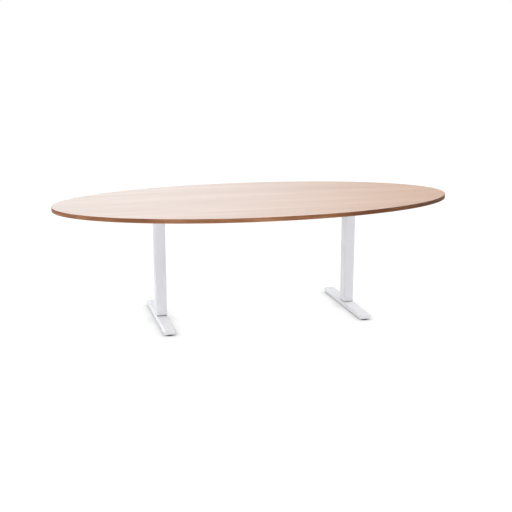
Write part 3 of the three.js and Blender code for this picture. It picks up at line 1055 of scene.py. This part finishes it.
def build_mains_inlet():
    """An appliance inlet with three flat pins in its recess."""
    low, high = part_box("mains_inlet")
    middle = (low + high) / 2
    inlet = take_block("mains_inlet_shroud", low, high)
    pick_edges(lambda a, b: along(X)(a, b) and a.z < low.z + NEAR)
    round_over(INLET_CORNER, steps=1)
    pick_faces(facing((-1, 0, 0)))
    inset(INLET_WALL)
    pull(x=INLET_DEPTH)
    turn_outwards()
    fit(close_up(inlet, INLET_EASE), "table", "black_plastic", BLACK_PLASTIC, "mains_inlet")
    for number, (across, above) in enumerate(PIN_PLACES, 1):
        y = middle.y + across
        z = middle.z + above
        pin = take_block(
            f"mains_inlet_pin_{number}",
            (low.x + PIN_SETBACK, y - PIN_HALF_WIDTH, z - PIN_HALF_HEIGHT),
            (low.x + INLET_DEPTH, y + PIN_HALF_WIDTH, z + PIN_HALF_HEIGHT),
        )
        pick_faces(facing((-1, 0, 0)))
        pull(x=-PIN_POINT)
        stretch(1, *PIN_POINT_SHARE, (0, y, z))
        fit(close_up(pin, PIN_EASE), "table", "zinc_steel", ZINC_STEEL)


def build_handset():
    low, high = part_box("handset")
    housing = take_block("handset_housing", low, high)
    pick_edges(along(Y))
    round_over(HANDSET_CORNER, steps=6)
    pick_edges(at_level(high.y, Y))
    round_over(HANDSET_FACE_EDGE, steps=4)
    pick_edges(at_level(low.y, Y))
    round_over(HANDSET_BACK_EDGE, steps=3)
    room = Vector(BUTTON_ROOM)
    for key in ("down", "up"):
        button_low, button_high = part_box(f"{key}_button")
        pocket = take_block("pocket", button_low - room, button_high + room)
        pick_edges(along(Y))
        round_over(BUTTON_CORNER, steps=5)
        carve(housing, pocket)
    fit(close_up(housing, HANDSET_EASE), "table", "grey_plastic", GREY_PLASTIC, "handset")
    for key, upwards in (("down", -1), ("up", 1)):
        build_button(key, upwards)


def build_button(key, upwards):
    """A dished button with an arrow in its dish."""
    node = f"{key}_button"
    low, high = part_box(node)
    middle = (low + high) / 2
    button = take_block(f"{key}_button_cap", low, high)
    pick_edges(along(Y))
    round_over(BUTTON_CORNER, steps=6)
    pick_edges(at_level(high.y, Y))
    round_over(BUTTON_EDGE, steps=3)
    pick_faces(facing((0, 1, 0)))
    inset(BUTTON_RIM, -BUTTON_DISH)
    fit(close_up(button), f"{key}_key", "black_plastic", BLACK_PLASTIC, node)
    floor = high.y - BUTTON_DISH
    arrow = take_bar(
        f"{key}_button_arrow",
        (middle.x, floor, middle.z),
        (middle.x, floor + ARROW_HEIGHT, middle.z),
        ARROW_SIZE,
        sides=3,
    )
    point_arrow(middle.x, middle.z, upwards * ARROW_SIZE)
    fit(close_up(arrow), f"{key}_key", "grey_plastic", ARROW_PRINT)


def point_arrow(x, z, size):
    """Sets the corners of a three-sided bar to a tip and a base, and rounds them."""
    mesh = bpy.context.object.data
    shape = bmesh.from_edit_mesh(mesh)
    corners = {}
    for point in shape.verts:
        corners.setdefault((round(point.co.x, 6), round(point.co.z, 6)), []).append(point)
    spots = (
        (x, z + ARROW_TIP * size),
        (x - ARROW_SIZE, z - ARROW_BASE * size),
        (x + ARROW_SIZE, z - ARROW_BASE * size),
    )
    for spot, points in zip(spots, corners.values()):
        for point in points:
            point.co.x, point.co.z = spot
    bmesh.update_edit_mesh(mesh)
    turn_outwards()
    pick_edges(along(Y))
    round_over(ARROW_CORNER, steps=3)


def lead_route(corners):
    """The line of a lead through its corners, bent at each one."""
    corners = [Vector(corner) for corner in corners]
    points = [corners[0]]
    for before, corner, after in zip(corners, corners[1:], corners[2:]):
        start = corner + (before - corner).normalized() * LEAD_BEND
        end = corner + (after - corner).normalized() * LEAD_BEND
        for step in range(LEAD_BEND_STEPS + 1):
            t = step / LEAD_BEND_STEPS
            points.append((1 - t) ** 2 * start + 2 * t * (1 - t) * corner + t * t * end)
    points.append(corners[-1])
    return points


def run_lead(name, node, corners):
    points = lead_route(corners)
    curve = bpy.data.curves.new(name, "CURVE")
    curve.dimensions = "3D"
    curve.bevel_depth = LEAD_RADIUS
    curve.bevel_resolution = LEAD_ROUND_STEPS
    curve.use_fill_caps = True
    spline = curve.splines.new("POLY")
    spline.points.add(len(points) - 1)
    for spot, point in zip(spline.points, points):
        spot.co = (*point, 1)
    lead = bpy.data.objects.new(name, curve)
    bpy.context.scene.collection.objects.link(lead)
    clear_bench()
    lead.select_set(True)
    bpy.context.view_layer.objects.active = lead
    bpy.ops.object.convert(target="MESH")
    fit(close_up(bpy.context.object), "table", "lead_jacket", LEAD_JACKET, node)


def build_leads(screw):
    box_low, box_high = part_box("control_box")
    middle = (box_low.x + box_high.x) / 2
    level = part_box("handset_lead")[1].z - LEAD_RADIUS
    for side, outwards in zip(SIDES, (-1, 1)):
        low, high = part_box(f"{side}_motor")
        drive = (low.z + high.z) / 2
        tail = high.x + LEAD_GAP if outwards < 0 else low.x - LEAD_GAP
        port = middle + outwards * PORT_OFFSET
        corners = (
            (tail, 0, drive),
            (tail - outwards * MOTOR_LEAD_STRAIGHT, 0, drive),
            (tail - outwards * MOTOR_LEAD_CLIMB, 0, level),
            (port, 0, level),
            (port, box_low.y - LEAD_GAP, level),
        )
        run_lead(f"{side}_motor_cable", f"{side}_motor_lead", corners)
        mould_plug(f"{side}_motor_plug", port, box_low.y, level, -1)
    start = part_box("handset")[0].y - LEAD_GAP
    end = box_high.y + LEAD_GAP
    corners = (
        (0, start, level),
        (0, start - HANDSET_LEAD_STRAIGHT, level),
        (middle, end + HANDSET_LEAD_STRAIGHT, level),
        (middle, end, level),
    )
    run_lead("handset_cable", "handset_lead", corners)
    mould_plug("handset_plug", middle, box_high.y, level, 1)
    clip_leads(screw, middle, level, Vector(corners[1]), Vector(corners[2]))


def mould_plug(name, x, face, level, outwards):
    """A plug at the control box with a stepped strain relief."""
    outer = face + outwards * PLUG_REACH
    plug = take_block(
        name,
        (x - PLUG_HALF, min(face, outer), level - PLUG_DROP),
        (x + PLUG_HALF, max(face, outer), level + LEAD_RADIUS),
    )
    pick_edges(along(Y))
    round_over(PLUG_CORNER, steps=3)
    pick_faces(facing((0, outwards, 0)))
    inset(PLUG_STEP)
    pull(y=outwards * RELIEF_REACH)
    stretch(RELIEF_SHARE, 1, RELIEF_SHARE, (x, outer, level - RELIEF_DROP))
    fit(close_up(plug, PLUG_EASE), "table", "black_plastic", BLACK_PLASTIC)


def mould_clip():
    """A saddle clip over a lead along X, hanging from z = 0, with a flange for its screw."""
    corner = Vector((CLIP_HALF_LENGTH, CLIP_HALF_WIDTH, 0))
    clip = take_block("clip", -corner + CLIP_DROP * Vector(DOWN), corner)
    pick_edges(lambda a, b: along(X)(a, b) and a.z < NEAR - CLIP_DROP)
    round_over(CLIP_CORNER, steps=5)
    level = -LEAD_GAP - LEAD_RADIUS
    bore = take_bar(
        "bore",
        (-CLIP_BORE_REACH, 0, level),
        (CLIP_BORE_REACH, 0, level),
        LEAD_RADIUS + CLIP_BORE_ROOM,
        sides=24,
    )
    carve(clip, bore)
    bpy.ops.object.mode_set(mode="EDIT")
    score((0, 0, -CLIP_FLANGE), UP)

    def on_flange(middle, normal):
        outside = middle.y > CLIP_HALF_WIDTH - NEAR
        return outside and normal.y > FACING and middle.z > -CLIP_FLANGE

    pick_faces(on_flange)
    pull(y=CLIP_FLANGE_REACH)
    return close_up(clip, CLIP_EASE)


def clip_leads(screw, middle, level, handset_bend, box_bend):
    """Clips that hold the leads to the board, each with its screw."""
    clip = mould_clip()
    top = level + LEAD_RADIUS + LEAD_GAP
    run = box_bend - handset_bend
    slant = math.atan2(run.y, run.x)
    across = math.pi / 2
    places = [
        ("left_motor_clip", LEFT_CLIP, 0, 0),
        ("left_port_clip", middle - PORT_OFFSET, PORT_CLIP, across),
    ]
    for number, x in enumerate(RIGHT_CLIPS, 1):
        places.append((f"right_motor_clip_{number}", x, 0, 0))
    places.append(("right_port_clip", middle + PORT_OFFSET, PORT_CLIP, across))
    for number, share in enumerate(HANDSET_CLIPS, 1):
        spot = handset_bend + share * run
        places.append((f"handset_clip_{number}", spot.x, spot.y, slant))
    for name, x, y, turn in places:
        fit(another(clip, name, (x, y, top), turn), "table", "black_plastic", BLACK_PLASTIC)
        screw_x = x - math.sin(turn) * CLIP_SCREW
        screw_y = y + math.cos(turn) * CLIP_SCREW
        drive_screw(screw, f"{name}_screw", (screw_x, screw_y, top - CLIP_FLANGE))
    bpy.data.objects.remove(clip)


# Studio

def seen_directly(tree):
    """One for the rays that show a surface or its reflection, nought for those that only light it."""
    path = tree.nodes.new("ShaderNodeLightPath")
    total = path.outputs["Is Camera Ray"]
    for ray in ("Is Glossy Ray", "Is Transmission Ray"):
        add = tree.nodes.new("ShaderNodeMath")
        add.operation = "ADD"
        add.use_clamp = True
        tree.links.new(total, add.inputs[0])
        tree.links.new(path.outputs[ray], add.inputs[1])
        total = add.outputs[0]
    return total


def mix_shaders(tree, amount, first, second):
    mix = tree.nodes.new("ShaderNodeMixShader")
    tree.links.new(amount, mix.inputs[0])
    tree.links.new(first, mix.inputs[1])
    tree.links.new(second, mix.inputs[2])
    return mix.outputs[0]


def bare_material(name):
    """A material with nothing but its output."""
    material = bpy.data.materials.new(name)
    material.use_nodes = True
    nodes = material.node_tree.nodes
    nodes.remove(nodes["Principled BSDF"])
    return material


def light_surroundings():
    """A white room that shows as white, lit from overhead, from the right and by two low lights."""
    world = bpy.data.worlds.new("studio")
    world.use_nodes = True
    bpy.context.scene.world = world
    tree = world.node_tree
    direction = tree.nodes.new("ShaderNodeTexCoord").outputs["Generated"]

    def lit_towards(aim, start, end, low, high):
        """A level that changes as the direction turns towards the aim."""
        turn = tree.nodes.new("ShaderNodeVectorMath")
        turn.operation = "DOT_PRODUCT"
        turn.inputs[1].default_value = aim
        tree.links.new(direction, turn.inputs[0])
        return smooth_range(tree, turn.outputs["Value"], start, end, low, high)

    def together(operation, first, second):
        """Two levels, or a level and a number, added or multiplied."""
        joined = tree.nodes.new("ShaderNodeMath")
        joined.operation = operation
        tree.links.new(first, joined.inputs[0])
        if isinstance(second, float):
            joined.inputs[1].default_value = second
        else:
            tree.links.new(second, joined.inputs[1])
        return joined.outputs[0]

    level = ROOM_LEVEL
    for aim, start, strength in STUDIO_LIGHTS:
        level = together("ADD", lit_towards(aim, start, 1.0, 0.0, strength), level)
    horizon = lit_towards(UP, *HORIZON_RISE, HORIZON_LEVEL, 1.0)
    ceiling = lit_towards(UP, *CEILING_FADE, 1.0, CEILING_LEVEL)
    level = together("MULTIPLY", together("MULTIPLY", level, horizon), ceiling)
    for aim, start, strength in LOW_LIGHTS:
        level = together("ADD", lit_towards(aim, start, 1.0, 0.0, strength), level)
    fill = tree.nodes["Background"]
    fill.inputs["Color"].default_value = (1, 1, 1, 1)
    tree.links.new(level, fill.inputs["Strength"])
    white = tree.nodes.new("ShaderNodeBackground")
    white.inputs["Color"].default_value = (1, 1, 1, 1)
    white.inputs["Strength"].default_value = 1.0
    seen = mix_shaders(tree, seen_directly(tree), fill.outputs[0], white.outputs[0])
    tree.links.new(seen, tree.nodes["World Output"].inputs["Surface"])


def lay_floor():
    """A white floor that keeps the soft shadow close round the feet. It is clear from underneath."""
    clear_bench()
    bpy.ops.mesh.primitive_plane_add(size=FLOOR_SIZE, location=(0, 0, -FLOOR_DROP))
    floor = bpy.context.object
    floor.name = "studio_floor"
    paint = bare_material("studio_floor")
    tree = paint.node_tree
    matt = tree.nodes.new("ShaderNodeBsdfDiffuse")
    matt.inputs["Color"].default_value = (*FLOOR_BOUNCE, 1)
    shade = tree.nodes.new("ShaderNodeBsdfDiffuse")
    shade.inputs["Color"].default_value = (*FLOOR_SHADE, 1)
    nearby = tree.nodes.new("ShaderNodeAmbientOcclusion")
    nearby.inputs["Distance"].default_value = CONTACT_REACH
    faded = tree.nodes.new("ShaderNodeMath")
    faded.operation = "MULTIPLY_ADD"
    faded.inputs[1].default_value = FLOOR_GLOW
    faded.inputs[2].default_value = FLOOR_LEAST
    tree.links.new(nearby.outputs["AO"], faded.inputs[0])
    glow = tree.nodes.new("ShaderNodeEmission")
    tree.links.new(faded.outputs[0], glow.inputs["Strength"])
    both = tree.nodes.new("ShaderNodeAddShader")
    tree.links.new(shade.outputs[0], both.inputs[0])
    tree.links.new(glow.outputs[0], both.inputs[1])
    top = mix_shaders(tree, seen_directly(tree), matt.outputs[0], both.outputs[0])
    clear = tree.nodes.new("ShaderNodeBsdfTransparent")
    back = tree.nodes.new("ShaderNodeNewGeometry").outputs["Backfacing"]
    face = mix_shaders(tree, back, top, clear.outputs[0])
    tree.links.new(face, tree.nodes["Material Output"].inputs["Surface"])
    floor.data.materials.append(paint)


def hang_softbox():
    """A wide softbox behind the table, brightest at its left, with the room's white at its right."""
    clear_bench()
    left, right = SOFTBOX_SPAN
    bpy.ops.mesh.primitive_plane_add(
        size=1,
        location=((left + right) / 2, SOFTBOX_BACK, SOFTBOX_BOTTOM + SOFTBOX_HEIGHT / 2),
        rotation=(math.pi / 2, 0, 0),
    )
    softbox = bpy.context.object
    softbox.name = "far_left_softbox"
    softbox.scale = (right - left, SOFTBOX_HEIGHT, 1)
    bpy.ops.object.transform_apply(location=True, rotation=True, scale=True)
    softbox.visible_camera = False
    softbox.visible_diffuse = False
    cloth = bare_material("softbox_cloth")
    tree = cloth.node_tree
    place = tree.nodes.new("ShaderNodeTexCoord").outputs["Object"]
    across = tree.nodes.new("ShaderNodeSeparateXYZ")
    tree.links.new(place, across.inputs[0])
    fade = smooth_range(tree, across.outputs["X"], *SOFTBOX_FADE)
    tint = tree.nodes.new("ShaderNodeMix")
    tint.data_type = "RGBA"
    tint.inputs[6].default_value = (*SOFTBOX_LEFT, 1)
    tint.inputs[7].default_value = (*SOFTBOX_RIGHT, 1)
    tree.links.new(fade, tint.inputs[0])
    glow = tree.nodes.new("ShaderNodeEmission")
    tree.links.new(tint.outputs[2], glow.inputs["Color"])
    tree.links.new(glow.outputs[0], tree.nodes["Material Output"].inputs["Surface"])
    softbox.data.materials.append(cloth)


def set_camera():
    lens = bpy.data.cameras.new("photo_camera")
    lens.lens = CAMERA_LENS
    lens.sensor_width = CAMERA_SENSOR
    lens.sensor_fit = "HORIZONTAL"
    camera = bpy.data.objects.new("photo_camera", lens)
    camera.location = CAMERA_PLACE
    camera.rotation_euler = (math.radians(90 - CAMERA_DOWN), 0, math.radians(-CAMERA_RIGHT))
    bpy.context.scene.collection.objects.link(camera)
    bpy.context.scene.camera = camera


def build_table():
    finish_kept_nodes()
    lay_veneer("top_face", "top_veneer", VENEER)
    lay_veneer("underside_face", "underside_veneer", BACKING)
    bend_edge_band()
    build_columns()
    build_feet()
    screw = turn_screw()
    bolt = turn_bolt()
    build_arms(screw)
    build_rails(bolt)
    build_gearboxes()
    build_motors()
    build_control_box(screw)
    build_mains_inlet()
    build_handset()
    build_leads(screw)
    bpy.data.objects.remove(screw)
    bpy.data.objects.remove(bolt)


build_table()
light_surroundings()
lay_floor()
hang_softbox()
set_camera()
bpy.context.scene.view_settings.view_transform = "Standard"
